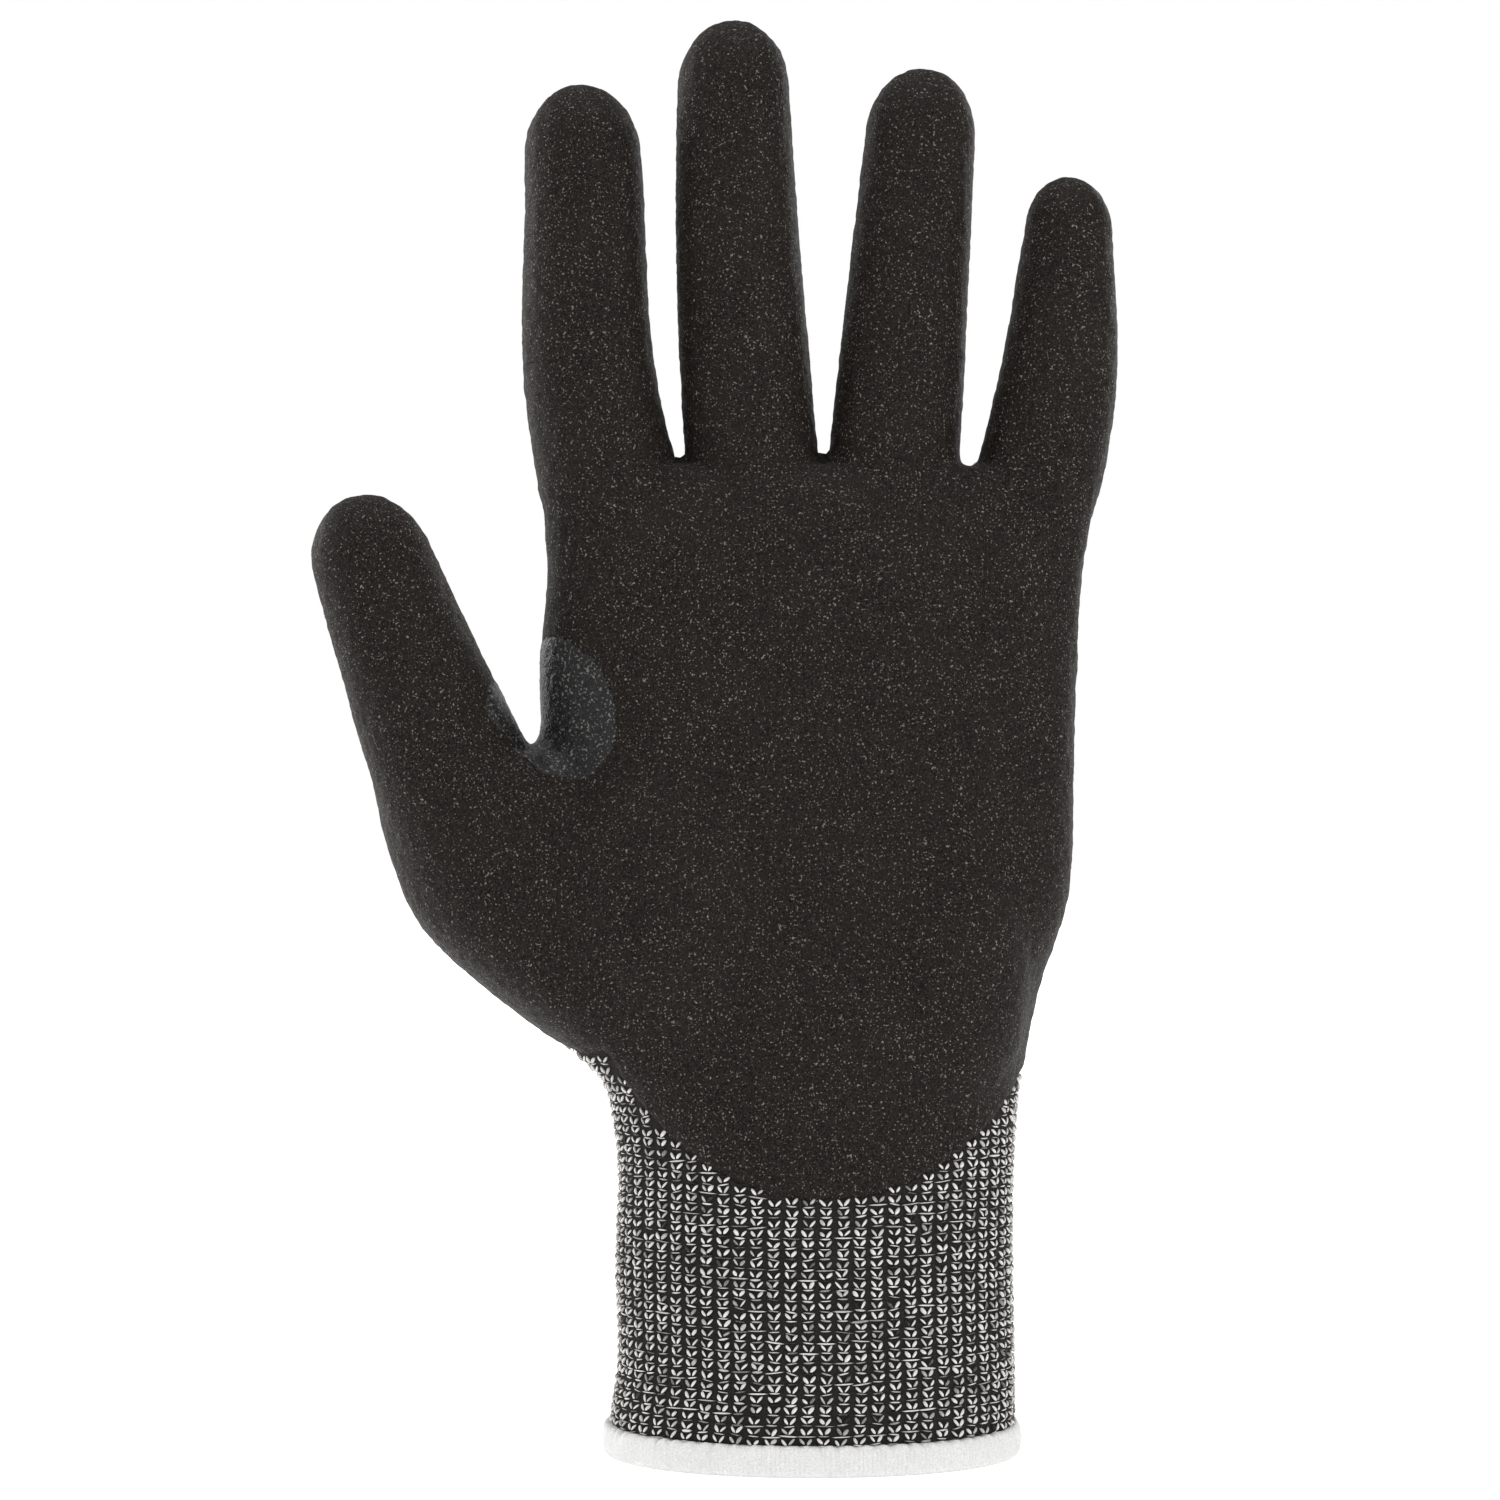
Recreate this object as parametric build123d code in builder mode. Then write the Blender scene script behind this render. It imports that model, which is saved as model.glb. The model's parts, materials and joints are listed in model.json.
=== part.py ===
"""Left-hand cut resistant glove: a knitted liner with a dipped palm coating and a rib cuff.

Frame, in millimetres: the origin is the centre of the cuff's mouth, +Z runs up to the fingertips,
the palm faces -Y and the thumb is on the -X side. The liner is one seamless knit on the real glove.
Here it is parted at each crease where it bends, so that every stretch can move with its joint.
"""

import os
from math import cos, radians, sin, tan

from build123d import *

os.makedirs("parts", exist_ok=True)

# fabric
LINER_WALL = 1.2
COATING = 0.8
PATCH_FILM = 0.5
COATING_BACK_EDGE = 3.0  # how far behind the middle plane the coating wraps round

# cuff and hem
HEM_HEIGHT = 5.0
HEM_PROUD = 0.8
HEM_LIP = 0.6
ELASTIC_ROWS = 9
ELASTIC_START = 7.0
ELASTIC_PITCH = 3.6
ELASTIC_THICKNESS = 0.5
ELASTIC_CLEARANCE = 0.05

# bending, in degrees
WRIST_BEND = 30.0
ROOT_BEND = 75.0
MIDDLE_BEND = 85.0
TIP_BEND = 42.5
THUMB_ROOT_BEND = 40.0
THUMB_TIP_BEND = 60.0
SPARE_ANGLE = 1.0  # free space left in each face of a fully closed crease
WRIST_HEIGHT = 48.0
REST_GAP = 0.25  # half the gap between two stretches behind the hinge line
HINGE_DEPTH = 0.42  # how far in front of a digit's middle its hinge line is, in half depths
FRONT_SPARE = 2.0  # how far in front of a digit's liner the outline of a crease ends
WRIST_REACH = 30.0  # the same for the hand's two faces
REACH = 60.0  # larger than half of any section

# the liner's outside from the cuff's mouth to the finger roots:
# height, middle x, half width, half depth, and fullness, which is 0.55 for an ellipse and more if squarer
HAND_STATIONS = [
    (0.0, 0.4, 34.4, 22.4, 0.58),
    (14.0, 0.4, 33.7, 22.2, 0.58),
    (48.0, 0.8, 33.2, 21.4, 0.61),
    (60.0, 0.9, 34.4, 20.8, 0.63),
    (76.0, -0.4, 38.6, 19.8, 0.65),
    (96.0, 0.7, 42.4, 18.2, 0.67),
    (120.0, 0.4, 44.4, 15.8, 0.69),
    (148.0, 0.2, 45.4, 12.8, 0.71),
    (162.0, 1.0, 46.4, 11.2, 0.72),
    (169.0, 1.0, 45.0, 9.4, 0.72),
]

# the thumb's ball, from inside the palm up to the thumb's root, in the same terms
BALL_DEPTH_MIDDLE = -2.0
BALL_STATIONS = [
    (60.0, -22.0, 9.0, 9.0, 0.60),
    (76.0, -26.5, 14.5, 13.0, 0.60),
    (90.0, -39.0, 21.5, 13.5, 0.62),
    (104.0, -46.5, 22.5, 13.5, 0.62),
    (118.0, -56.5, 17.5, 12.0, 0.62),
]

# the palm coating's lower edge, a smile-shaped arc above the cuff
COATING_EDGE_LEFT = (-44.0, 70.0)
COATING_EDGE_BOTTOM = (0.0, 46.5)
COATING_EDGE_RIGHT = (44.0, 72.0)

# the glossy patch between thumb and palm, seen from the palm side
PATCH_OUTLINE = [(-44, 142), (-35.5, 136), (-34.5, 125), (-41, 117), (-50, 121), (-57, 131)]


class Digit:
    """A finger or the thumb: a tapered tube with a rounded tip that leaves the hand at its root."""

    DEPTH_RATIO = 0.88

    def __init__(self, name, root, lean, length, root_width, tip_width, bends, roll=0.0):
        self.name = name
        self.length = length
        self.root_half = root_width / 2 - COATING
        self.tip_half = tip_width / 2 - COATING
        self.bends = bends  # the creases from the root: share of the length, largest angle
        self.front = self.root_half * self.DEPTH_RATIO + FRONT_SPARE
        tilt, turn = radians(lean), radians(roll)
        across = Vector(cos(tilt) * cos(turn), sin(turn), -sin(tilt) * cos(turn))
        along = Vector(sin(tilt), 0, cos(tilt))
        self.plane = Plane(origin=root, x_dir=across, z_dir=along)
        self.side = Plane(origin=root, x_dir=self.plane.y_dir, z_dir=across)

    def hinge(self, number):
        """How far up the digit a crease is, and where its hinge line is before or behind the middle."""
        share = self.bends[number][0]
        half = self.root_half + (self.tip_half - self.root_half) * share
        return share * self.length, -HINGE_DEPTH * half * self.DEPTH_RATIO


FINGER_BENDS = [(0.14, ROOT_BEND), (0.46, MIDDLE_BEND), (0.74, TIP_BEND)]
THUMB_BENDS = [(0.17, THUMB_ROOT_BEND), (0.58, THUMB_TIP_BEND)]
FINGERS = [
    Digit("index", (-34.9, 0, 170), -5.0, 69.2, 24.8, 20.2, FINGER_BENDS),
    Digit("middle", (-10.2, 0, 170), -2.6, 80.3, 22.9, 19.8, FINGER_BENDS),
    Digit("ring", (14.2, 0, 170), 4.8, 72.0, 22.6, 19.6, FINGER_BENDS),
    Digit("little", (38.9, 0, 170), 6.8, 53.2, 21.8, 15.6, FINGER_BENDS),
]
THUMB = Digit("thumb", (-61, -3, 119.5), -19.0, 51.0, 26.8, 21.4, THUMB_BENDS, roll=18.0)
DIGITS = [*FINGERS, THUMB]
STRETCH_NAMES = {3: ["proximal", "middle", "distal"], 2: ["proximal", "distal"]}


def section(plane, half_width, half_depth, fullness):
    """An oval of four curves on that plane."""
    corners = [(half_width, 0), (0, half_depth), (-half_width, 0), (0, -half_depth)]
    with BuildSketch(plane) as oval:
        with BuildLine():
            for start, end in zip(corners, corners[1:] + corners[:1]):
                first = (start[0] + fullness * end[0], start[1] + fullness * end[1])
                second = (end[0] + fullness * start[0], end[1] + fullness * start[1])
                Bezier(start, first, second, end)
        make_face()
    return oval.sketch


def lofted(stations, depth_middle, grow):
    """A closed form through those stations, grown by that much all round."""
    top = stations[-1][0]
    ovals = []
    for height, middle, half_width, half_depth, fullness in stations:
        level = height + grow if height == top else height
        plane = Plane(origin=(middle, depth_middle, level))
        ovals.append(section(plane, half_width + grow, half_depth + grow, fullness))
    with BuildPart() as form:
        loft(ovals, ruled=True)
    return form.part


def hand_form(grow):
    """The cuff and the palm without digits, as a closed form."""
    return lofted(HAND_STATIONS, 0, grow)


def ball_form(grow):
    """The thumb's ball as a closed form."""
    return lofted(BALL_STATIONS, BALL_DEPTH_MIDDLE, grow)


def digit_form(digit, grow):
    """A whole digit as a closed form, grown by that much all round: turned, then flattened in depth."""
    root = digit.root_half + grow
    tip = digit.tip_half + grow
    shoulder = digit.length - COATING - digit.tip_half
    with BuildPart() as form:
        with BuildSketch(Plane.XZ):
            with BuildLine():
                Polyline((0, -root), (root, -root), (root, 0))
                Line((root, 0), (tip, shoulder))
                CenterArc((0, shoulder), tip, start_angle=0, arc_size=90)
                Line((0, shoulder + tip), (0, -root))
            make_face()
        revolve(axis=Axis.Z)
        scale(by=(1, digit.DEPTH_RATIO, 1))
    return form.part.moved(digit.plane.location)


def outline_block(plane, points):
    """A block with that side outline, wide enough for any digit or for the hand."""
    with BuildPart() as block:
        with BuildSketch(plane):
            with BuildLine():
                Polyline(*points, close=True)
            make_face()
        extrude(amount=REACH * 2, both=True)
    return block.part


def stretch_block(digit, number, back=REACH):
    """Keeps one stretch of a digit, cut back in front so that its creases can close.

    Stretch 0 is the stub on the hand. back is how far behind the middle the block reaches.
    """
    lower = [(back, -REACH), (-digit.front, -REACH)]
    upper = [(-digit.front, digit.length + REACH), (back, digit.length + REACH)]
    if number > 0:
        height, depth = digit.hinge(number - 1)
        rise = (digit.front + depth) * tan(radians(digit.bends[number - 1][1] / 2 + SPARE_ANGLE))
        base = height + REST_GAP
        lower = [(back, base), (depth, base), (-digit.front, base + rise)]
    if number < len(digit.bends):
        height, depth = digit.hinge(number)
        rise = (digit.front + depth) * tan(radians(digit.bends[number][1] / 2 + SPARE_ANGLE))
        base = height - REST_GAP
        upper = [(-digit.front, base - rise), (depth, base), (back, base)]
    return outline_block(digit.side, [*lower, *upper])


def wrist_block(above):
    """Keeps what is above or below the wrist's hinge line, cut back on both faces of the hand."""
    sign = 1 if above else -1
    far = REACH * 4 if above else -WRIST_HEIGHT
    near = sign * REST_GAP
    rise = sign * WRIST_REACH * tan(radians(WRIST_BEND / 2 + SPARE_ANGLE))
    side = Plane(origin=(0, 0, WRIST_HEIGHT), x_dir=(0, 1, 0), z_dir=(1, 0, 0))
    points = [(-WRIST_REACH, near + rise), (0, near), (WRIST_REACH, near + rise)]
    return outline_block(side, [*points, (WRIST_REACH, far), (-WRIST_REACH, far)])


def slab(low, high):
    """Keeps what is between two heights."""
    with BuildPart() as layer:
        with BuildSketch(Plane.XY.offset(low)):
            Rectangle(REACH * 4, REACH * 4)
        extrude(amount=high - low)
    return layer.part


def stubbed_hand(grow, digits, stub_blocks):
    """The palm and the thumb's ball, with the stub of every one of those digits on it."""
    with BuildPart() as whole:
        add(hand_form(grow))
        add(ball_form(grow))
        for form, block in zip(digits, stub_blocks):
            add(form & block)
    return whole.part


def save(part, name):
    """Writes one finished node."""
    part.label = name
    export_step(part, f"parts/{name}.step")


hand_out = hand_form(0)
hand_in = hand_form(-LINER_WALL)
digits_out = [digit_form(digit, 0) for digit in DIGITS]
digits_in = [digit_form(digit, -LINER_WALL) for digit in DIGITS]
digits_coated = [digit_form(digit, COATING) for digit in DIGITS]
stub_blocks = [stretch_block(digit, 0) for digit in DIGITS]
stubbed_out = stubbed_hand(0, digits_out, stub_blocks)
stubbed_coated = stubbed_hand(COATING, digits_coated, stub_blocks)
thumb_filmed = digit_form(THUMB, COATING + PATCH_FILM)
stubbed_filmed = stubbed_hand(COATING + PATCH_FILM, [thumb_filmed], stub_blocks[-1:])

# the knitted hand, with the palm side and the back as its two faces
with BuildPart() as liner_hand:
    add(stubbed_out)
    for form in (hand_in, ball_form(-LINER_WALL), *digits_in):
        add(form, mode=Mode.SUBTRACT)
    add(wrist_block(above=True), mode=Mode.INTERSECT)

with BuildPart() as liner_palm:
    add(liner_hand.part)
    split(bisect_by=Plane.XZ, keep=Keep.TOP)
save(liner_palm.part, "liner_palm")

with BuildPart() as liner_back:
    add(liner_hand.part)
    split(bisect_by=Plane.XZ, keep=Keep.BOTTOM)
save(liner_back.part, "liner_back")

# the dipped coating on the palm, down to its smile-shaped edge
with BuildPart() as coated_region:
    with BuildSketch(Plane.XZ.offset(-COATING_BACK_EDGE)):
        with BuildLine():
            ThreePointArc(COATING_EDGE_LEFT, COATING_EDGE_BOTTOM, COATING_EDGE_RIGHT)
            top = REACH * 4
            right, left = COATING_EDGE_RIGHT[0], COATING_EDGE_LEFT[0]
            Polyline(COATING_EDGE_RIGHT, (2 * right, top / 3), (2 * right, top), (2 * left, top),
                     (2 * left, top / 3), COATING_EDGE_LEFT)
        make_face()
    extrude(amount=REACH)

with BuildPart() as coating_palm:
    add(stubbed_coated)
    add(stubbed_out, mode=Mode.SUBTRACT)
    add(coated_region.part, mode=Mode.INTERSECT)
    add(wrist_block(above=True), mode=Mode.INTERSECT)
save(coating_palm.part, "coating_palm")

# the glossy film on the coating between thumb and palm
with BuildPart() as patch_region:
    with BuildSketch(Plane.XZ.offset(-COATING_BACK_EDGE)):
        with BuildLine():
            Spline(*PATCH_OUTLINE, periodic=True)
        make_face()
    extrude(amount=REACH)

with BuildPart() as thumb_crotch_patch:
    add(stubbed_filmed)
    add(stubbed_coated, mode=Mode.SUBTRACT)
    add(patch_region.part, mode=Mode.INTERSECT)
save(thumb_crotch_patch.part, "thumb_crotch_patch")

# the cuff, its elastic threads and the overlock hem round its mouth
with BuildPart() as cuff_rib:
    add(hand_out)
    add(hand_in, mode=Mode.SUBTRACT)
    add(wrist_block(above=False), mode=Mode.INTERSECT)
    add(slab(0, HEM_LIP), mode=Mode.SUBTRACT)
save(cuff_rib.part, "cuff_rib")

with BuildPart() as elastic_layers:
    for row in range(ELASTIC_ROWS):
        with BuildSketch(Plane.XY.offset(ELASTIC_START + row * ELASTIC_PITCH)):
            Rectangle(REACH * 2, REACH * 2)
    extrude(amount=ELASTIC_THICKNESS)

with BuildPart() as cuff_elastic:
    add(hand_form(-LINER_WALL - ELASTIC_CLEARANCE))
    add(hand_form(-LINER_WALL - ELASTIC_CLEARANCE - ELASTIC_THICKNESS), mode=Mode.SUBTRACT)
    add(elastic_layers.part, mode=Mode.INTERSECT)
save(cuff_elastic.part, "cuff_elastic")

with BuildPart() as hem_overlock:
    add(hand_form(HEM_PROUD))
    add(hand_in, mode=Mode.SUBTRACT)
    add(slab(0, HEM_HEIGHT), mode=Mode.INTERSECT)
    add(hand_out & slab(HEM_LIP, HEM_HEIGHT), mode=Mode.SUBTRACT)
save(hem_overlock.part, "hem_overlock")

# each digit's stretches: the knit tube and the coating on its palm side
for digit, outside, inside, coated in zip(DIGITS, digits_out, digits_in, digits_coated):
    for number, stretch in enumerate(STRETCH_NAMES[len(digit.bends)], start=1):
        with BuildPart() as liner_stretch:
            add(outside)
            add(inside, mode=Mode.SUBTRACT)
            add(stretch_block(digit, number), mode=Mode.INTERSECT)
        save(liner_stretch.part, f"liner_{digit.name}_{stretch}")

        with BuildPart() as coating_stretch:
            add(coated)
            add(outside, mode=Mode.SUBTRACT)
            add(stretch_block(digit, number, back=COATING_BACK_EDGE), mode=Mode.INTERSECT)
        save(coating_stretch.part, f"coating_{digit.name}_{stretch}")
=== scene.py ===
"""The looks of the cut resistant glove: coated palm, knitted back, rib cuff, overlock hem.

Everything is in the CAD's frame: the cuff's mouth is at the origin, +Z runs up to the fingertips, the
palm faces -Y and the thumb is on the -X side. Numbers here are millimetres, turned into metres as each
mesh is made. One closed skin is built for the whole glove. The liner's ground, the yarn on it, the
coating and the patch are all taken from that skin, and each is parted where the frame's joints bend.
"""

import json
import math

import bmesh
import bpy
import numpy as np
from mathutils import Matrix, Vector, noise
from mathutils.bvhtree import BVHTree


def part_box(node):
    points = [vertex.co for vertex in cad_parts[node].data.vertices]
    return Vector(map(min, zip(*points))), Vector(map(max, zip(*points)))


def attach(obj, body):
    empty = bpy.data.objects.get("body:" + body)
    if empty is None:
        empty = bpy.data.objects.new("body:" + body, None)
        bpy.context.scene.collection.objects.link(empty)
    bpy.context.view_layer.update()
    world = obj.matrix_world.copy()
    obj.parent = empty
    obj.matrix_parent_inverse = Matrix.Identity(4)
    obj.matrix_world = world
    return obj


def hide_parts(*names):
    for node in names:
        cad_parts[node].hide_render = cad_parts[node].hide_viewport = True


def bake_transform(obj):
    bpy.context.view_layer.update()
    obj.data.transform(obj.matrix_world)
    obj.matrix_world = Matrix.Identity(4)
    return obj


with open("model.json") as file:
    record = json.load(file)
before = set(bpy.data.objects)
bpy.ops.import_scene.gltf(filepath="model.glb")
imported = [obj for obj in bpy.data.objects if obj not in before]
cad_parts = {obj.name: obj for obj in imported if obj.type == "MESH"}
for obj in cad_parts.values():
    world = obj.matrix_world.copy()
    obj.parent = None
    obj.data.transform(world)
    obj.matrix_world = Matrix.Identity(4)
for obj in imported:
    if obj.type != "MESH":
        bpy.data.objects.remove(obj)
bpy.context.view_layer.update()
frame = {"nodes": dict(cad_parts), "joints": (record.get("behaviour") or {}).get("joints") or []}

MM = 0.001
random = np.random.default_rng(11)

# the layers of the glove
COATING_THICK = 0.8
GROUND_DROP = 0.75  # how far the liner's ground lies under the skin
GROUND_WALL = 0.7
FILM_WALL = 0.5
PATCH_PROUD = 0.3

# how finely the skin is meshed
BASE_VOXEL = 1.6
COATING_VOXEL = 0.62
GROUND_VOXEL = 0.9
BASE_SMOOTHING = 14
COATING_SMOOTHING = 2
GROUND_SMOOTHING = 3
RELAXING = 8  # rounds of softening in the webs, for a voxel of one millimetre
STATION_SPACING = 2.0
SWELLING_RINGS = 24
POLE_GAP = 0.06  # how near its poles a swelling's rings go, in radians

# the soft webs: where they start, are full, are still full and end
WEB_BAND = (156, 164, 176, 186)  # heights between the fingers
CROTCH_BAND = (-22, -8, 6, 16)  # distances along the thumb
CROTCH_HALF = 24

# a digit's section and its hinge lines, as in the CAD
DEPTH_RATIO = 0.88
HINGE_DEPTH = 0.42
FIRST_CREASE = {"finger": 0.14, "thumb": 0.17}
DOME_RATIO = 1.28  # how tall a digit's rounded end is, in half widths
ROOT_DEPTH = 14.0  # how far a digit's form runs down into the hand
ROOT_TAPER = {"finger": 0.34, "thumb": 0.0}  # how much narrower it gets there
DIGIT_RINGS = 60
DOME_TURNS = np.linspace(0.08, 1.5, 14)
DOME_POWER = 2.05
DIGIT_SQUARENESS = 2.15
DIGIT_REACH = 1.3  # a point is on a digit up to this many half widths from its middle
CUT_REACH = 3  # how near a crease's plane faces are cut
CUT_SPREAD = 1.25  # and how far from the digit's middle, in half widths of its root

# the spans along each stretch of a digit, and where its pieces meet, as shares of a digit's length
ZONES = {"finger": [(0.04, 0.27), (0.33, 0.59), (0.65, 0.83)], "thumb": [(0.04, 0.37), (0.42, 0.76)]}
CUTS = {"finger": [0.04, 0.30, 0.62], "thumb": [0.04, 0.395]}
STRETCHES = {"finger": ["proximal", "middle", "distal"], "thumb": ["proximal", "distal"]}
WRIST_ZONE = (36.0, 60.0)

# the hand without its digits: height, middle, half width, depth in front and behind, squareness
HAND_STATIONS = [
    (0, 0.1, 35.7, 22.8, 22.8, 2.1),
    (5, 0.1, 35.9, 22.9, 22.9, 2.1),
    (14, 0.8, 35.2, 22.4, 22.4, 2.1),
    (34, 0.5, 35.2, 22.0, 22.0, 2.1),
    (52, 0.8, 35.1, 21.7, 21.4, 2.15),
    (66, 0.2, 36.9, 21.0, 20.4, 2.2),
    (80, -0.8, 40.4, 20.4, 19.4, 2.3),
    (96, 0.9, 43.9, 19.0, 18.2, 2.4),
    (116, 0.0, 46.0, 16.8, 16.8, 2.4),
    (134, -0.6, 47.0, 14.6, 15.2, 2.5),
    (155, 0.7, 47.0, 13.2, 13.4, 2.6),
    (167, 1.3, 48.0, 11.6, 11.4, 2.7),
    (172, 1.4, 46.6, 9.0, 9.0, 2.7),
]
BALL_STATIONS = [
    (56, -20.0, 9.0, 14.0, 9.0, 2.1),
    (68, -25.5, 14.0, 18.5, 12.0, 2.1),
    (80, -35.5, 20.0, 20.8, 12.0, 2.1),
    (91, -45.0, 22.5, 19.6, 11.5, 2.2),
    (104, -51.0, 22.6, 17.4, 11.0, 2.2),
    (116, -57.0, 19.6, 15.4, 10.2, 2.2),
    (122, -60.5, 17.0, 14.4, 9.6, 2.2),
]
# soft swellings of a filled glove: centre and half sizes
SWELLINGS = [
    ((-26, -9, 92), (22, 14, 30)),
    ((23, -7.5, 86), (15, 14, 30)),
    ((2, -4.5, 154), (34, 10, 13)),
]

# the edge of the palm coating
EDGE_BEHIND = 2.5
EDGE_BEHIND_DIGIT = EDGE_BEHIND + 0.3
EDGE_TURN = 0.4  # the share of a digit over which the edge turns to run along it
EDGE_BOTTOM = 46.2
EDGE_MIDDLE = 2.0
EDGE_RADIUS = 40.5
EDGE_REACH = 37.0  # how far out the edge still climbs
EDGE_TAPER = 2.2
TIP_CAP = 9.0

# the glossy patch between thumb and palm, seen from the palm side
PATCH_OUTLINE = [
    (-46, 144), (-39, 141), (-33.5, 133), (-33, 124),
    (-37, 117.5), (-44, 117), (-51, 121.5), (-59, 133),
]

# the knit
RIB_COLUMNS = 62
RIB_COURSE = 1.75
RIB_BOTTOM = 6.2
RIB_TOP = 80.0
RIB_SIDE_OVERLAP = 0.5  # how far front and back stitches reach past the side line
RIB_TOP_BEHIND = 68.0
RIB_REACH = 20  # columns to each side of the middle
RIB_EVEN_TOP = 50  # above this the columns keep their pitch
RIB_WAVE, RIB_WAVE_LENGTH = 0.25, 9
RIB_TUCK = 0.7  # how far the rib runs in under the coating
JERSEY_WALE = 2.1
JERSEY_COURSE = 1.6
JERSEY_SPLIT = 118.0
JERSEY_TUCK = -0.1
JERSEY_REACH = 34  # wales to each side of the hand's middle
DIGIT_JERSEY_REACH = 10
DIGIT_NARROWING = 0.93
BACK_START = RIB_TOP_BEHIND + 0.6
BACK_TOP = 170.5
BACK_OVERLAP = 3.4  # how far down into the hand each digit's plain knit starts
PLACE_SPREAD = 0.05

# the charts that the stitches are laid on
CHART_SPACING = 1.5
HAND_CHART = (1.0, 171.0)
HAND_CHART_REACH = 75
DIGIT_CHART_REACH = 22

REST = "rest"
TONE = "tone"


# ---- forms and meshes ----


def smoothstep(value, low, high):
    share = np.clip((value - low) / (high - low), 0, 1)
    return share * share * (3 - 2 * share)


def noise_at(points, size, seed=0.0):
    """Smooth noise, from about -1 to 1, with features of about that size."""
    shift = Vector((seed, seed * 1.7, -seed))
    return np.array([noise.noise(Vector(point) / size + shift) for point in points])


def oval(middle, half_width, front, back, squareness, count=96):
    """The x and y of one closed oval, counted round from +X. An ellipse has a squareness of 2."""
    angle = np.linspace(0, 2 * math.pi, count, endpoint=False)
    cosine, sine = np.cos(angle), np.sin(angle)
    depth = np.where(sine > 0, back, front)
    x = middle + half_width * np.sign(cosine) * np.abs(cosine) ** (2 / squareness)
    y = depth * np.sign(sine) * np.abs(sine) ** (2 / squareness)
    return x, y


def closed_tube(rings):
    """Points and faces of a closed form through rings of equal length."""
    count = len(rings[0])
    step = np.arange(count)
    following = (step + 1) % count
    faces = []
    for level in range(len(rings) - 1):
        low, high = level * count, (level + 1) * count
        faces += np.stack([low + step, low + following, high + following, high + step], axis=1).tolist()
    faces.append(step[::-1].tolist())
    faces.append((step + (len(rings) - 1) * count).tolist())
    return np.concatenate(rings), faces


def between(stations, spacing):
    """The stations with more between them, along smooth curves."""
    table = np.array(stations, float)
    slopes = np.gradient(table[:, 1:], table[:, 0], axis=0)
    heights = np.arange(table[0, 0], table[-1, 0] + spacing / 2, spacing)
    index = np.clip(np.searchsorted(table[:, 0], heights, "right") - 1, 0, len(table) - 2)
    span = (table[index + 1, 0] - table[index, 0])[:, None]
    t = (heights - table[index, 0])[:, None] / span
    rows = (2 * t**3 - 3 * t**2 + 1) * table[index, 1:] + (t**3 - 2 * t**2 + t) * span * slopes[index]
    rows += (3 * t**2 - 2 * t**3) * table[index + 1, 1:] + (t**3 - t**2) * span * slopes[index + 1]
    return np.column_stack([heights, rows])


def station_form(stations):
    rings = []
    for height, middle, half_width, front, back, squareness in between(stations, STATION_SPACING):
        x, y = oval(middle, half_width, front, back, squareness)
        rings.append(np.column_stack([x, y, np.full_like(x, height)]))
    return closed_tube(rings)


def swelling_form(centre, sizes):
    rings = []
    for polar in np.linspace(POLE_GAP, math.pi - POLE_GAP, SWELLING_RINGS):
        radius = math.sin(polar)
        x, y = oval(0, radius, radius, radius, 2)
        ring = np.column_stack([x, y, np.full_like(x, -math.cos(polar))])
        rings.append(ring * np.array(sizes) + np.array(centre))
    return closed_tube(rings)


def joined(forms):
    """Several (points, faces) as one."""
    points, faces, start = [], [], 0
    for some_points, some_faces in forms:
        points.append(some_points)
        faces += [[index + start for index in face] for face in some_faces]
        start += len(some_points)
    return np.concatenate(points), faces


def mesh_of(name, points, faces):
    """A Blender mesh in metres."""
    mesh = bpy.data.meshes.new(name)
    mesh.from_pydata((np.asarray(points) * MM).tolist(), [], faces)
    mesh.update()
    return mesh


def new_object(name, mesh):
    made = bpy.data.objects.new(name, mesh)
    bpy.context.scene.collection.objects.link(made)
    return made


def with_modifiers(name, points, faces, *modifiers):
    """The mesh that those modifiers make: each is a kind and its settings."""
    made = new_object(name, mesh_of(name, points, faces))
    for kind, settings in modifiers:
        modifier = made.modifiers.new(kind, kind)
        for setting, value in settings.items():
            setattr(modifier, setting, value)
    result = bpy.data.meshes.new_from_object(made.evaluated_get(bpy.context.evaluated_depsgraph_get()))
    bpy.data.objects.remove(made)
    return result


def union(name, points, faces, voxel, rounds):
    """One closed skin round forms that run into each other."""
    remesh = ("REMESH", {"mode": "VOXEL", "voxel_size": voxel * MM})
    smooth = ("SMOOTH", {"factor": 0.5, "iterations": rounds})
    return with_modifiers(name, points, faces, remesh, smooth)


def arrays(mesh):
    """Points, normals, and faces as tuples."""
    points = np.empty(len(mesh.vertices) * 3)
    mesh.vertices.foreach_get("co", points)
    normals = np.empty(len(mesh.vertices) * 3)
    mesh.vertex_normals.foreach_get("vector", normals)
    faces = [tuple(polygon.vertices) for polygon in mesh.polygons]
    return points.reshape(-1, 3) / MM, normals.reshape(-1, 3), faces


def centres_of(points, faces):
    return np.array([points[list(face)].mean(axis=0) for face in faces])


# ---- digits, read from the frame ----


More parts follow.
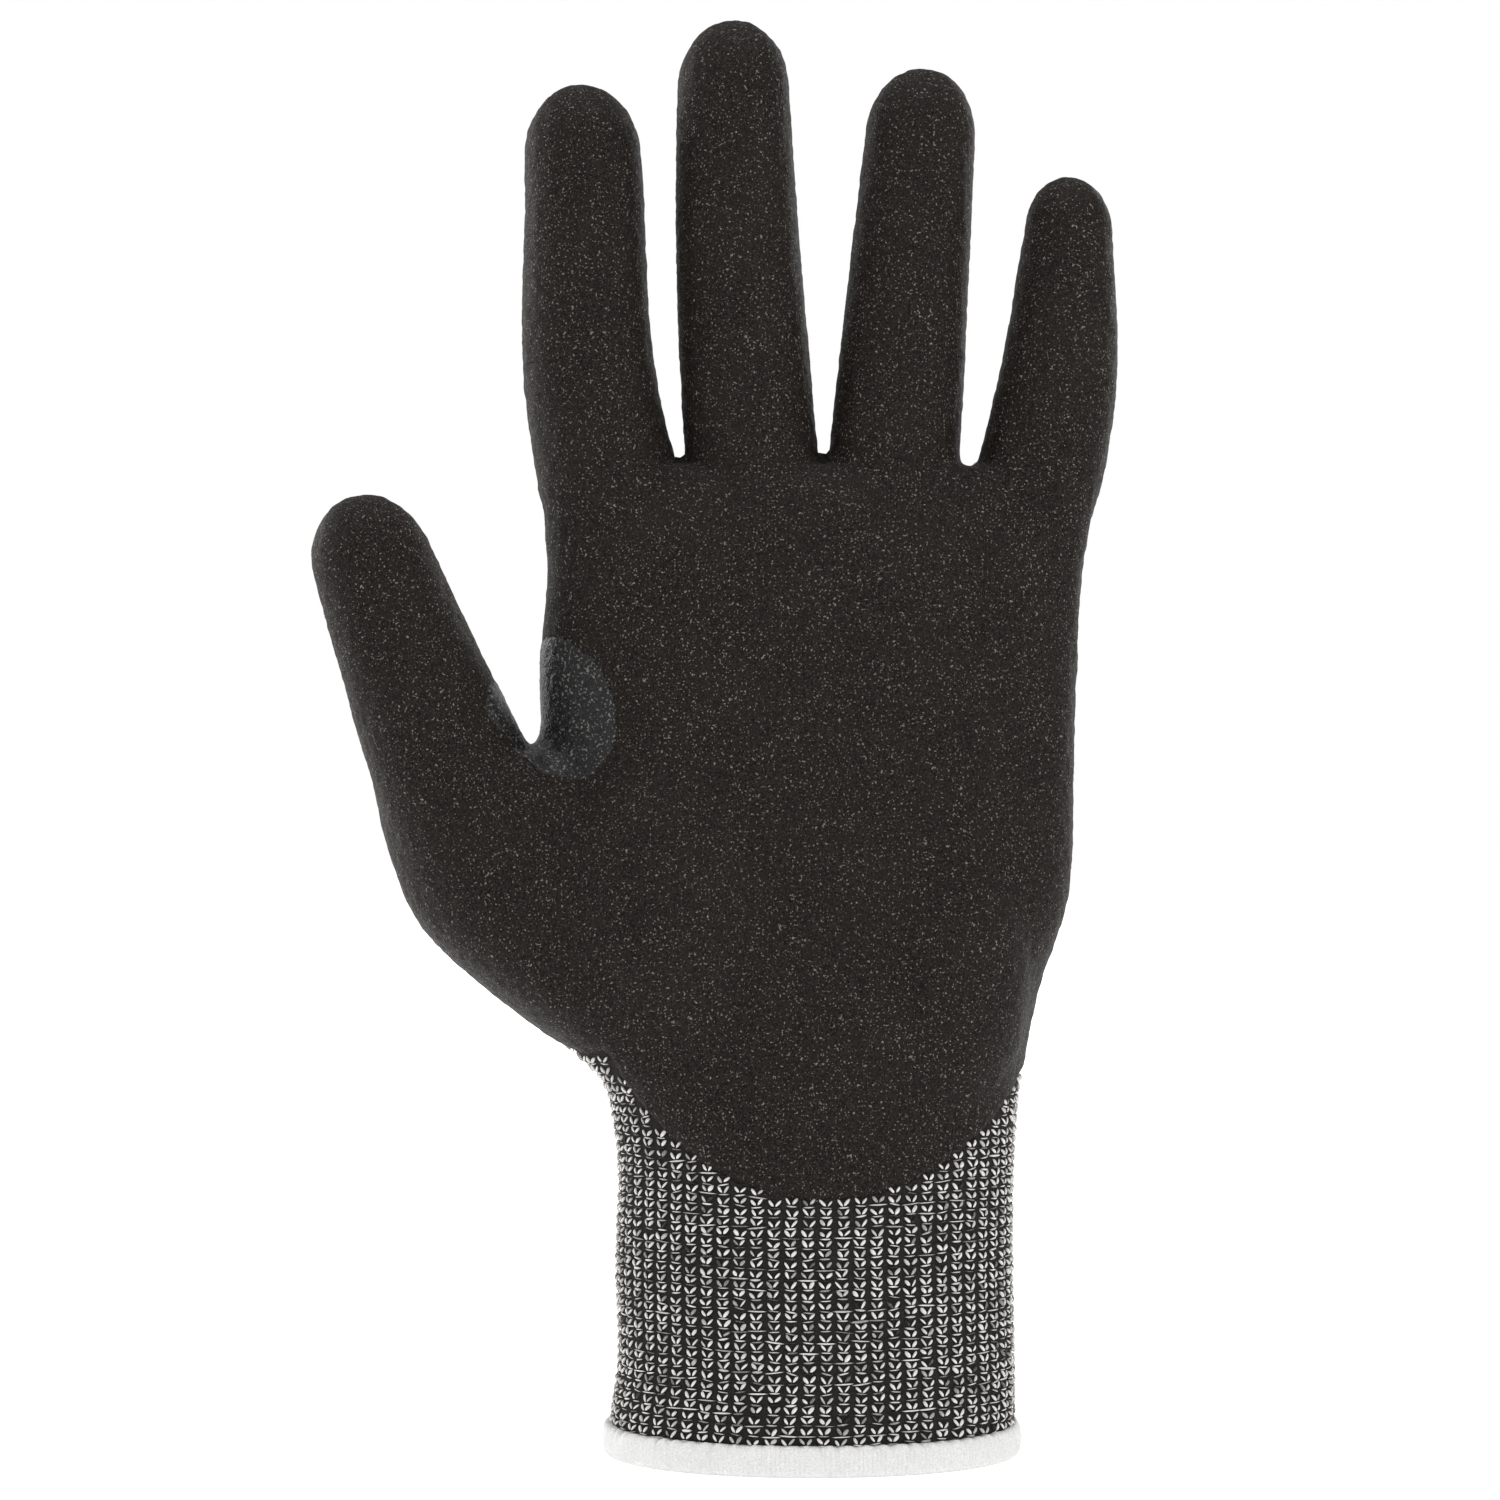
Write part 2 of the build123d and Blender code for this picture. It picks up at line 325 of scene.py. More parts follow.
class Digit:
    """A finger or the thumb: its own axes and its outside widths."""

    def __init__(self, name, kind, widths, taper, start, end, bow, sway=0.0):
        joints = {joint["child"]: joint for joint in frame["joints"]}
        self.name = name
        self.kind = kind
        self.bodies = ["palm"] + [f"{name}_{stretch}" for stretch in STRETCHES[kind]]
        self.root_half, self.tip_half = widths[0] / 2, widths[1] / 2
        self.taper = taper
        self.start, self.end, self.bow, self.sway = start, end, bow, sway
        self.across = np.array(joints[self.bodies[1]]["axis"])
        self.across = self.across / np.linalg.norm(self.across)
        lean = math.atan2(-self.across[2], self.across[0])
        self.along = np.array([math.sin(lean), 0, math.cos(lean)])
        self.back = np.cross(self.along, self.across)
        hinge = np.array(joints[self.bodies[1]]["pos_m"]) / MM
        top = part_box(f"coating_{self.bodies[-1]}")[1][2] / MM
        share = FIRST_CREASE[kind]
        half = self.root_half + (self.tip_half - self.root_half) * share - COATING_THICK
        centre = hinge + self.back * HINGE_DEPTH * DEPTH_RATIO * half
        reach = self.tip_half * (1 - self.along[2])
        self.length = (top - centre[2] - reach) / self.along[2] / (1 - share)
        self.root = centre - self.along * share * self.length

    def half_width(self, height):
        """Half of the outside width at that height, with a rounded end."""
        dome = self.tip_half * DOME_RATIO
        shoulder = self.length - dome
        narrowing = np.clip(height / shoulder, 0, 1) ** self.taper
        share = np.clip((height - shoulder) / dome, 0, 1)
        straight = self.root_half + (self.tip_half - self.root_half) * narrowing
        return straight * np.sqrt(1 - share**DOME_POWER)

    def middle(self, height):
        """How far to one side the digit's own middle line runs at that height."""
        share = np.clip(height / self.length, 0, 1)
        bend = self.bow * np.sin(math.pi * share) + self.sway * np.sin(2 * math.pi * share)
        return self.start + (self.end - self.start) * share + bend

    def point(self, across, back, height):
        return self.root + self.across * across + self.back * back + self.along * height

    def local(self, points):
        """Across, behind and along, for each of those points."""
        away = np.asarray(points) - self.root
        return away @ self.across, away @ self.back, away @ self.along

    def form(self):
        dome = self.tip_half * DOME_RATIO
        heights = list(np.linspace(-ROOT_DEPTH, self.length - dome, DIGIT_RINGS))
        heights += [self.length - dome * (1 - math.sin(turn)) for turn in DOME_TURNS]
        rings = []
        for height in heights:
            sunk = 1 - ROOT_TAPER[self.kind] * smoothstep(-height, 0, ROOT_DEPTH)
            half = float(self.half_width(height) * sunk)
            deep = half * DEPTH_RATIO
            x, y = oval(self.middle(height), half, deep, deep, DIGIT_SQUARENESS)
            rings.append(np.array([self.point(a, b, height) for a, b in zip(x, y)]))
        return closed_tube(rings)


DIGITS = [
    Digit("index", "finger", (25.0, 20.4), 0.8, start=-0.55, end=0.0, bow=-1.4, sway=-0.8),
    Digit("middle", "finger", (23.3, 19.6), 1.6, start=0.1, end=0.0, bow=-0.8),
    Digit("ring", "finger", (23.2, 19.2), 1.1, start=0.0, end=-0.2, bow=0.0),
    Digit("little", "finger", (22.2, 15.4), 1.6, start=0.8, end=0.4, bow=1.4, sway=0.3),
    Digit("thumb", "thumb", (27.6, 21.2), 1.0, start=-1.6, end=-3.0, bow=-0.4),
]


def owners(points):
    """For each point the number of the digit it is on, or -1 on the hand."""
    points = np.asarray(points)
    best = np.full(len(points), DIGIT_REACH)
    owner = np.full(len(points), -1)
    for number, digit in enumerate(DIGITS):
        across, back, along = digit.local(points)
        half = digit.root_half + (digit.tip_half - digit.root_half) * np.clip(along / digit.length, 0, 1)
        ratio = np.hypot((across - digit.middle(along)) / half, back / half / DEPTH_RATIO)
        nearer = (along > CUTS[digit.kind][0] * digit.length) & (ratio < best)
        best[nearer] = ratio[nearer]
        owner[nearer] = number
    return owner


def inside_coating(points):
    """How far inside the coating's edge each point lies. It is negative on bare knit."""
    points = np.asarray(points)
    x, y, z = points.T
    sideways = np.clip(x - EDGE_MIDDLE, -EDGE_REACH, EDGE_REACH)
    arc = EDGE_BOTTOM + EDGE_RADIUS - np.sqrt(EDGE_RADIUS**2 - sideways**2)
    inside = np.minimum(EDGE_BEHIND - y, z - arc)
    owner = owners(points)
    for number, digit in enumerate(DIGITS):
        mine = owner == number
        _, back, along = digit.local(points[mine])
        own = smoothstep(along / digit.length, 0.0, EDGE_TURN)
        side = (EDGE_BEHIND - y[mine]) * (1 - own) + (EDGE_BEHIND_DIGIT - back) * own
        inside[mine] = np.maximum(side, along - digit.length + TIP_CAP)
    return inside


# ---- the skin ----


def glove_forms():
    """The forms that the skin is drawn round, with the hand's own already run together."""
    swellings = [swelling_form(centre, sizes) for centre, sizes in SWELLINGS]
    hand = joined([station_form(HAND_STATIONS), station_form(BALL_STATIONS), *swellings])
    base = union("hand", *hand, BASE_VOXEL, BASE_SMOOTHING)
    points, _, faces = arrays(base)
    bpy.data.meshes.remove(base)
    return joined([(points, faces), *[digit.form() for digit in DIGITS]])


def within(value, band):
    """1 inside the band, falling smoothly to 0 over its two ends."""
    return smoothstep(value, band[0], band[1]) * (1 - smoothstep(value, band[2], band[3]))


def relaxed(points, faces, weights, rounds):
    """The points, each drawn towards its neighbours by its weight, that many times."""
    edges = np.array([(a, b) for face in faces for a, b in zip(face, face[1:] + face[:1])])
    degree = np.bincount(edges[:, 0], minlength=len(points))[:, None]
    for _ in range(rounds):
        sums = [np.bincount(edges[:, 0], points[edges[:, 1], axis], len(points)) for axis in range(3)]
        points = points + weights[:, None] * 0.5 * (np.column_stack(sums) / degree - points)
    return points


def skin(name, forms, voxel, rounds):
    """The glove's closed skin, with soft webs between the digits."""
    mesh = union(name, *forms, voxel, rounds)
    points, _, faces = arrays(mesh)
    bpy.data.meshes.remove(mesh)
    web = within(points[:, 2], WEB_BAND)
    across, _, along = DIGITS[-1].local(points)
    crotch = within(along, CROTCH_BAND) * (np.abs(across) < CROTCH_HALF)
    points = relaxed(points, faces, np.maximum(web, crotch), int(RELAXING / voxel**2))
    return mesh_of(name, points, faces)


def cut_at_creases(mesh):
    """Cuts the faces along the planes where pieces meet."""
    cut = bmesh.new()
    cut.from_mesh(mesh)
    for digit in DIGITS:
        for share in CUTS[digit.kind]:
            height = share * digit.length
            centres = np.array([face.calc_center_median() for face in cut.faces]) / MM
            across, back, along = digit.local(centres)
            near = np.abs(along - height) < CUT_REACH
            near &= np.hypot(across, back) < digit.root_half * CUT_SPREAD
            cut.faces.ensure_lookup_table()
            faces = [cut.faces[index] for index in np.flatnonzero(near)]
            parts = set(faces)
            parts.update(edge for face in faces for edge in face.edges)
            parts.update(vertex for face in faces for vertex in face.verts)
            centre = Vector(digit.point(0, 0, height)) * MM
            bmesh.ops.bisect_plane(cut, geom=list(parts), dist=1e-8, plane_co=centre, plane_no=digit.along)
    cut.to_mesh(mesh)
    cut.free()


def body_of(centres):
    """For each face centre the body it is on: the palm, or a stretch of a digit."""
    bodies = np.full(len(centres), "palm", dtype=object)
    owner = owners(centres)
    for number, digit in enumerate(DIGITS):
        mine = np.flatnonzero(owner == number)
        _, _, along = digit.local(centres[mine])
        cuts = np.array(CUTS[digit.kind]) * digit.length
        level = np.clip(np.searchsorted(cuts, along, "right"), 1, len(cuts))
        bodies[mine] = np.array(digit.bodies, dtype=object)[level]
    return bodies


# ---- pieces ----


def place_on(piece, body):
    """Rides the piece on the cuff or the palm; any other piece only has its transform baked in."""
    if body in ("cuff", "palm"):
        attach(piece, body)
    elif body == "wrist":
        low, high = WRIST_ZONE
        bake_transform(piece)
    else:
        digit = next(digit for digit in DIGITS if body in digit.bodies[1:])
        number = digit.bodies.index(body)
        low, high = (digit.point(0, 0, share * digit.length) * MM for share in ZONES[digit.kind][number - 1])
        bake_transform(piece)


def add_piece(name, points, faces, material, body, wall=0.0, tones=None):
    """A finished piece of those faces, in a wall that thick, passed to place_on with its body."""
    used = np.unique(np.concatenate([np.asarray(face) for face in faces]))
    lookup = np.full(len(points), -1)
    lookup[used] = np.arange(len(used))
    faces = [[int(lookup[index]) for index in face] for face in faces]
    points = np.asarray(points)[used]
    if wall:
        solid = ("SOLIDIFY", {"thickness": wall * MM, "offset": -1.0})
        mesh = with_modifiers(name, points, faces, solid)
    else:
        mesh = mesh_of(name, points, faces)
    mesh.name = name
    mesh.polygons.foreach_set("use_smooth", [True] * len(mesh.polygons))
    places = np.empty(len(mesh.vertices) * 3, np.float32)
    mesh.vertices.foreach_get("co", places)
    mesh.attributes.new(REST, "FLOAT_VECTOR", "POINT").data.foreach_set("vector", places)
    if tones is not None:
        tone = mesh.attributes.new(TONE, "FLOAT", "POINT")
        tone.data.foreach_set("value", np.asarray(tones, np.float32)[used])
    mesh.materials.clear()
    mesh.materials.append(material)
    piece = new_object(name, mesh)
    place_on(piece, body)
    return piece


# ---- materials ----


class Shading:
    """A node material with a Principled surface."""

    # a Mix node's sockets share their names between its kinds, so its colours go by number
    FIRST_COLOUR = 6
    SECOND_COLOUR = 7
    MIXED_COLOUR = 2

    def __init__(self, name, **surface):
        self.material = bpy.data.materials.new(name)
        self.material.use_nodes = True
        self.nodes = self.material.node_tree.nodes
        self.links = self.material.node_tree.links
        self.surface = self.nodes["Principled BSDF"]
        for socket, value in surface.items():
            self.surface.inputs[socket.replace("_", " ")].default_value = value

    def feed(self, socket, value):
        if isinstance(value, bpy.types.NodeSocket):
            self.links.new(value, socket)
        else:
            socket.default_value = value

    def node(self, kind, settings=(), **inputs):
        made = self.nodes.new(kind)
        for setting, value in dict(settings).items():
            setattr(made, setting, value)
        for socket, value in inputs.items():
            self.feed(made.inputs[socket.replace("_", " ")], value)
        return made

    def place(self):
        """The point's place at rest, in millimetres."""
        rest = self.node("ShaderNodeAttribute", {"attribute_name": REST}).outputs["Vector"]
        scaled = self.node("ShaderNodeVectorMath", {"operation": "SCALE"}, Vector=rest, Scale=1 / MM)
        return scaled.outputs["Vector"]

    def noise(self, place, size, detail=2.0, roughness=0.5):
        settings = {"Scale": 1 / size, "Detail": detail, "Roughness": roughness}
        return self.node("ShaderNodeTexNoise", Vector=place, **settings).outputs["Fac"]

    def ramp(self, value, *stops):
        """Colours or greys along a value: each stop is a place and a colour."""
        made = self.node("ShaderNodeValToRGB", Fac=value)
        elements = made.color_ramp.elements
        while len(elements) < len(stops):
            elements.new(0.5)
        for element, (place, colour) in zip(elements, stops):
            element.position = place
            element.color = (*colour, 1) if isinstance(colour, tuple) else (colour, colour, colour, 1)
        return made.outputs["Color"]

    def math(self, operation, *values):
        made = self.nodes.new("ShaderNodeMath")
        made.operation = operation
        for socket, value in zip(made.inputs, values):
            self.feed(socket, value)
        return made.outputs["Value"]

    def mix(self, share, first, second):
        made = self.node("ShaderNodeMix", {"data_type": "RGBA"})
        self.feed(made.inputs["Factor"], share)
        self.feed(made.inputs[self.FIRST_COLOUR], first)
        self.feed(made.inputs[self.SECOND_COLOUR], second)
        return made.outputs[self.MIXED_COLOUR]

    def bump(self, height, distance, strength=1.0, under=None):
        made = self.node("ShaderNodeBump", Height=height, Distance=distance * MM, Strength=strength)
        if under:
            self.links.new(under, made.inputs["Normal"])
        return made.outputs["Normal"]

    def finish(self, colour, normal, roughness):
        self.links.new(colour, self.surface.inputs["Base Color"])
        self.links.new(normal, self.surface.inputs["Normal"])
        self.links.new(roughness, self.surface.inputs["Roughness"])
        return self.material


COATING_PIT, COATING_GRAIN = (0.0016, 0.0012, 0.0009), (0.0170, 0.0136, 0.0110)
COATING_WORN, COATING_SPECK = (0.0135, 0.0110, 0.0090, 1), (0.150, 0.132, 0.112, 1)
PATCH_DARK, PATCH_LIGHT = (0.002, 0.002, 0.002), (0.006, 0.006, 0.006)
# the colour of the painted highlight: pale dots painted onto the glossy patch as glints
PATCH_PAINTED_GLINT = (0.11, 0.105, 0.10, 1)
GROUND_DARK, GROUND_LIGHT = (0.006, 0.0055, 0.005), (0.026, 0.024, 0.021)
GROUND_SOFT = (0.012, 0.011, 0.010, 1)
RIB_DARK, RIB_PALE = (0.010, 0.009, 0.008), (0.58, 0.565, 0.545)
BACK_DARK, BACK_PALE = (0.012, 0.011, 0.010), (0.54, 0.53, 0.51)
HEM_SHADE, HEM_WHITE = (0.46, 0.46, 0.455), (0.68, 0.68, 0.675)
HEM_SOFT = (0.50, 0.50, 0.50, 1)
ELASTIC_DARK, ELASTIC_LIGHT = (0.01, 0.0095, 0.009), (0.035, 0.033, 0.03)


def coating_material():
    """Sandy black nitrile: a grainy film with pale specks, over a faint print of the knit."""
    shading = Shading("sandy_coating", Specular_IOR_Level=0.09)
    place = shading.place()
    grain = shading.noise(place, 0.34, 3.0, 0.62)
    patches = shading.noise(place, 14.0, 2.0)
    specks = shading.noise(place, 0.36, 1.0, 0.4)
    base = shading.ramp(grain, (0.38, COATING_PIT), (0.66, COATING_GRAIN))
    worn = shading.mix(shading.ramp(patches, (0.35, 0.0), (0.75, 0.3)), base, COATING_WORN)
    pale = shading.ramp(specks, (0.64, 0.0), (0.74, 1.0))
    colour = shading.mix(pale, worn, COATING_SPECK)
    split = shading.node("ShaderNodeSeparateXYZ", Vector=place)
    courses = shading.math("SINE", shading.math("MULTIPLY", split.outputs["Z"], 2 * math.pi / JERSEY_COURSE))
    wales = shading.math("SINE", shading.math("MULTIPLY", split.outputs["X"], 2 * math.pi / JERSEY_WALE))
    knit = shading.bump(shading.math("ADD", courses, wales), 0.05, 0.35)
    normal = shading.bump(grain, 0.16, 0.9, knit)
    return shading.finish(colour, normal, shading.ramp(grain, (0.3, 0.72), (0.7, 0.5)))


def patch_material():
    """The smooth glossy film between thumb and palm, with pale dots painted into its colour as glints."""
    shading = Shading("glossy_patch", Specular_IOR_Level=0.26)
    place = shading.place()
    waves = shading.noise(place, 1.1, 2.0, 0.5)
    fine = shading.noise(place, 0.38, 2.0, 0.55)
    # painted highlight: pale dots of noise painted into the patch's colour as glints
    painted_glints = shading.ramp(shading.noise(place, 0.42, 1.0, 0.4), (0.60, 0.0), (0.70, 1.0))
    colour = shading.ramp(waves, (0.3, PATCH_DARK), (0.8, PATCH_LIGHT))
    colour = shading.mix(painted_glints, colour, PATCH_PAINTED_GLINT)
    normal = shading.bump(fine, 0.24, 1.0, shading.bump(waves, 0.3, 0.9))
    return shading.finish(colour, normal, shading.ramp(waves, (0.3, 0.26), (0.7, 0.46)))


def ground_material():
    """The knit's dark ground, in the shade between the loops."""
    shading = Shading("dark_ground", Specular_IOR_Level=0.12)
    place = shading.place()
    fibres = shading.noise(place, 0.3, 3.0, 0.6)
    soft = shading.noise(place, 3.0, 1.0)
    dark = shading.ramp(fibres, (0.35, GROUND_DARK), (0.75, GROUND_LIGHT))
    colour = shading.mix(shading.ramp(soft, (0.3, 0.0), (0.8, 0.3)), dark, GROUND_SOFT)
    normal = shading.bump(fibres, 0.15, 0.9)
    return shading.finish(colour, normal, shading.ramp(fibres, (0.3, 0.95), (0.7, 0.8)))


def yarn_material(name, dark, light):
    """Yarn whose strands differ in tone, with fine twisted fibres."""
    shading = Shading(name, Specular_IOR_Level=0.25)
    place = shading.place()
    tone = shading.node("ShaderNodeAttribute", {"attribute_name": TONE}).outputs["Fac"]
    fibres = shading.noise(place, 0.22, 3.0, 0.6)
    flecks = shading.math("MULTIPLY", shading.math("SUBTRACT", fibres, 0.5), 0.5)
    colour = shading.ramp(shading.math("ADD", tone, flecks), (0.08, dark), (0.62, light))
    normal = shading.bump(fibres, 0.12, 0.8)
    return shading.finish(colour, normal, shading.ramp(fibres, (0.3, 0.85), (0.7, 0.65)))


def hem_material():
    """White overlock thread."""
    shading = Shading("white_overlock", Specular_IOR_Level=0.3)
    place = shading.place()
    fibres = shading.noise(place, 0.25, 3.0, 0.6)
    soft = shading.noise(place, 2.5, 1.0)
    colour = shading.ramp(fibres, (0.3, HEM_SHADE), (0.7, HEM_WHITE))
    colour = shading.mix(shading.ramp(soft, (0.4, 0.0), (0.8, 0.35)), colour, HEM_SOFT)
    normal = shading.bump(fibres, 0.1, 0.8)
    return shading.finish(colour, normal, shading.ramp(fibres, (0.3, 0.8), (0.7, 0.6)))


def elastic_material():
    """Dark covered elastic."""
    shading = Shading("covered_elastic", Specular_IOR_Level=0.3)
    place = shading.node("ShaderNodeTexCoord").outputs["Object"]
    wound = shading.node("ShaderNodeTexWave", Vector=place, Scale=900.0, Distortion=2.0).outputs["Fac"]
    colour = shading.ramp(wound, (0.2, ELASTIC_DARK), (0.8, ELASTIC_LIGHT))
    normal = shading.bump(wound, 0.08, 0.7)
    return shading.finish(colour, normal, shading.ramp(wound, (0.2, 0.75), (0.8, 0.55)))


# ---- knit ----

SPINDLE_SIDES = 5
SPINDLE_RINGS = [(0.2, 0.78), (0.5, 1.0), (0.8, 0.78)]


def spindles(starts, ends, normals, radius, arch, flatness=0.75):
    """Slim pointed strands of yarn as one (points, faces). arch is how far the middle stands proud."""
    count = len(starts)
    way = ends - starts
    side = np.cross(way, normals)
    side /= np.linalg.norm(side, axis=1)[:, None]
    up = np.cross(side, way)
    up /= np.linalg.norm(up, axis=1)[:, None]
    radius = np.broadcast_to(radius, count)[:, None]
    angles = np.arange(SPINDLE_SIDES) * 2 * math.pi / SPINDLE_SIDES
    columns = [starts]
    for share, size in SPINDLE_RINGS:
        centre = starts + way * share + up * arch * 4 * share * (1 - share)
        for angle in angles:
            spread = side * math.cos(angle) + up * math.sin(angle) * flatness
            columns.append(centre + spread * radius * size)
    columns.append(ends)
    points = np.stack(columns, axis=1).reshape(-1, 3)
    last = len(columns) - 1
    top = 1 + (len(SPINDLE_RINGS) - 1) * SPINDLE_SIDES
    one = []
    for step in range(SPINDLE_SIDES):
        following = (step + 1) % SPINDLE_SIDES
        one.append([0, 1 + following, 1 + step])
        one.append([top + step, top + following, last])
        for low in range(1, top, SPINDLE_SIDES):
            high = low + SPINDLE_SIDES
            one.append([low + step, low + following, high + following, high + step])
    faces = [[index + number * len(columns) for index in face] for number in range(count) for face in one]
    return points, faces


class Wrap:
    """The skin as a chart: height, and distance round from a line up its front or back."""

    STEP = 0.5
    TURN = 1.75  # how far round the chart looks to each side, in radians
    DIRECTIONS = 161
    MARGIN = 1

    def __init__(self, tree, point_at, outward, sideways, heights, reach):
        self.heights = np.asarray(heights, float)
        self.around = np.arange(-reach, reach + self.STEP / 2, self.STEP)
        angles = np.linspace(-self.TURN, self.TURN, self.DIRECTIONS)
        middle = len(angles) // 2
        directions = np.outer(np.cos(angles), outward) + np.outer(np.sin(angles), sideways)
        rows, slopes, limits = [], [], []
        for height in self.heights:
            centre = Vector(point_at(height)) * MM
            hits = [tree.ray_cast(centre, Vector(direction)) for direction in directions]
            points = np.array([hit[0] for hit in hits]) / MM
            normals = np.array([hit[1] for hit in hits])
            arc = np.concatenate([[0], np.cumsum(np.linalg.norm(np.diff(points, axis=0), axis=1))])
            arc -= arc[middle]
            limits.append((arc[0], arc[-1]))
            rows.append(np.column_stack([np.interp(self.around, arc, row) for row in points.T]))
            slopes.append(np.column_stack([np.interp(self.around, arc, row) for row in normals.T]))
        self.points, self.normals, self.limits = np.array(rows), np.array(slopes), np.array(limits)

    def at(self, around, height, lift=0.0):
        """The points there, raised off the skin by lift, and the skin's normals."""
        row = np.interp(height, self.heights, np.arange(len(self.heights)))
        row = np.clip(row, 0, len(self.heights) - 1.001)
        column = np.clip((around - self.around[0]) / self.STEP, 0, len(self.around) - 1.001)
        r, c = row.astype(int), column.astype(int)
        up, along = (row - r)[:, None], (column - c)[:, None]

        def blend(grid):
            low = grid[r, c] * (1 - along) + grid[r, c + 1] * along
            high = grid[r + 1, c] * (1 - along) + grid[r + 1, c + 1] * along
            return low * (1 - up) + high * up

        normals = blend(self.normals)
        normals /= np.linalg.norm(normals, axis=1)[:, None]
        return blend(self.points) + normals * lift, normals

    def holds(self, around, height):
        """Whether the chart reaches that far round at that height."""
        low = np.interp(height, self.heights, self.limits[:, 0])
        high = np.interp(height, self.heights, self.limits[:, 1])
        return (around > low + self.MARGIN) & (around < high - self.MARGIN)

    def half_round(self):
        """How far it is round the chart's own side of the hand, at each height."""
        sides = []
        for row in self.points:
            steps = np.linalg.norm(np.diff(row, axis=0), axis=1)
            sides.append(steps[row[:-1, 1] * row[len(row) // 2, 1] > 0].sum())
        return np.array(sides)


def strand(wrap, around, height, first, second, lifts, radius, arch):
    """Strands laid on a chart, each from its first offset to its second: (round, up)."""
    starts, normals = wrap.at(around + first[0], height + first[1], lifts[0])
    ends, _ = wrap.at(around + second[0], height + second[1], lifts[1])
    return spindles(starts, ends, normals, radius, arch)


def jitter(count, size):
    return random.normal(0, size, count)


def stitch_mesh(parts):
    """Strand meshes with their tones, as one mesh and one tone for each point."""
    points, faces = joined([part[:2] for part in parts])
    tones = [np.repeat(tone, len(some) // len(tone)) for some, _, tone in parts]
    return points, faces, np.concatenate(tones)


# a rib stitch, from its own middle: its legs, and the bar under it
RIB_HALF = 0.36  # of the rib's pitch
RIB_LEG_TOP, RIB_LEG_FOOT = 0.60, -0.46
RIB_LEG_GAP = 0.14
RIB_LEG_RADIUS, RIB_BAR_RADIUS = 0.27, 0.135
RIB_BAR_HEIGHT = -0.80
RIB_BAR_REACH, RIB_FLOAT_REACH = 0.95, 0.6  # of the stitch's half, and of the pitch
RIB_FLOATS = 0.12  # the share of bars that run on to the next stitch
RIB_DEEP, RIB_SHALLOW = -0.66, -0.28
RIB_LEG_ARCH, RIB_BAR_ARCH = 0.16, 0.26
RIB_LEG_TONE, RIB_BAR_TONE, RIB_TONE_SPREAD = 0.60, 0.44, 0.2
RIB_UNEVEN = 0.09

# a jersey stitch, likewise
JERSEY_HALF = 0.42  # of a wale
JERSEY_LEG_TOP, JERSEY_LEG_FOOT = 0.72, -0.78
JERSEY_LEG_GAP = 0.20
JERSEY_RADIUS, JERSEY_ARCH = 0.40, 0.22
JERSEY_DEEP, JERSEY_SHALLOW = -0.72, -0.45
JERSEY_PALE_SHARE = 0.5
JERSEY_PALE, JERSEY_PALE_SPREAD = 0.5, 0.14
JERSEY_DARK, JERSEY_DARK_SPREAD = 0.12, 0.08


def rib_stitches(wrap, around, height, pitch):
    """Each rib stitch: two pale legs in a V and a thin bar that runs under it."""
    count = len(around)
    wide = pitch * RIB_HALF
    sag = jitter(count, 0.10)
    parts = []
    for side in (-1, 1):
        top = RIB_LEG_TOP + sag
        foot = RIB_LEG_FOOT + sag
        first = (side * (wide + jitter(count, RIB_UNEVEN)), top + jitter(count, RIB_UNEVEN))
        second = (side * (RIB_LEG_GAP + jitter(count, 0.06)), foot + jitter(count, RIB_UNEVEN))
        radius = RIB_LEG_RADIUS * np.exp(jitter(count, 0.16))
        lifts = (RIB_DEEP, RIB_SHALLOW)
        mesh = strand(wrap, around, height, first, second, lifts, radius, RIB_LEG_ARCH)
        parts.append((*mesh, RIB_LEG_TONE + jitter(count, RIB_TONE_SPREAD)))
    lean = jitter(count, 0.10)
    reach = np.where(random.random(count) < RIB_FLOATS, pitch * RIB_FLOAT_REACH, wide * RIB_BAR_REACH)
    first = (-reach, RIB_BAR_HEIGHT + sag - lean)
    second = (reach, RIB_BAR_HEIGHT + sag + lean)
    radius = RIB_BAR_RADIUS * np.exp(jitter(count, 0.25))
    lifts = (RIB_DEEP, RIB_DEEP)
    mesh = strand(wrap, around, height, first, second, lifts, radius, RIB_BAR_ARCH)
    parts.append((*mesh, RIB_BAR_TONE + jitter(count, RIB_TONE_SPREAD)))
    return stitch_mesh(parts)


def jersey_stitches(wrap, around, height):
    """Each jersey stitch: two legs in a V that tuck into the one below."""
    count = len(around)
    wide = JERSEY_WALE * JERSEY_HALF
    lifts = (JERSEY_DEEP, JERSEY_SHALLOW)
    parts = []
    for side in (-1, 1):
        first = (side * (wide + jitter(count, 0.05)), JERSEY_LEG_TOP + jitter(count, 0.07))
        second = (side * (JERSEY_LEG_GAP + jitter(count, 0.05)), JERSEY_LEG_FOOT + jitter(count, 0.07))
        radius = JERSEY_RADIUS * np.exp(jitter(count, 0.10))
        mesh = strand(wrap, around, height, first, second, lifts, radius, JERSEY_ARCH)
        is_pale = random.random(count) < JERSEY_PALE_SHARE
        pale = JERSEY_PALE + jitter(count, JERSEY_PALE_SPREAD)
        dark = JERSEY_DARK + jitter(count, JERSEY_DARK_SPREAD)
        parts.append((*mesh, np.where(is_pale, pale, dark)))
    return stitch_mesh(parts)


def grid_of(columns, heights):
    """All pairs of a column and a height, as two arrays."""
    column, height = np.meshgrid(columns, heights)
    return column.ravel().astype(float), height.ravel().astype(float)


def hand_centre(height):
    levels = [row[0] for row in HAND_STATIONS]
    return (float(np.interp(height, levels, [row[1] for row in HAND_STATIONS])), 0.0, float(height))


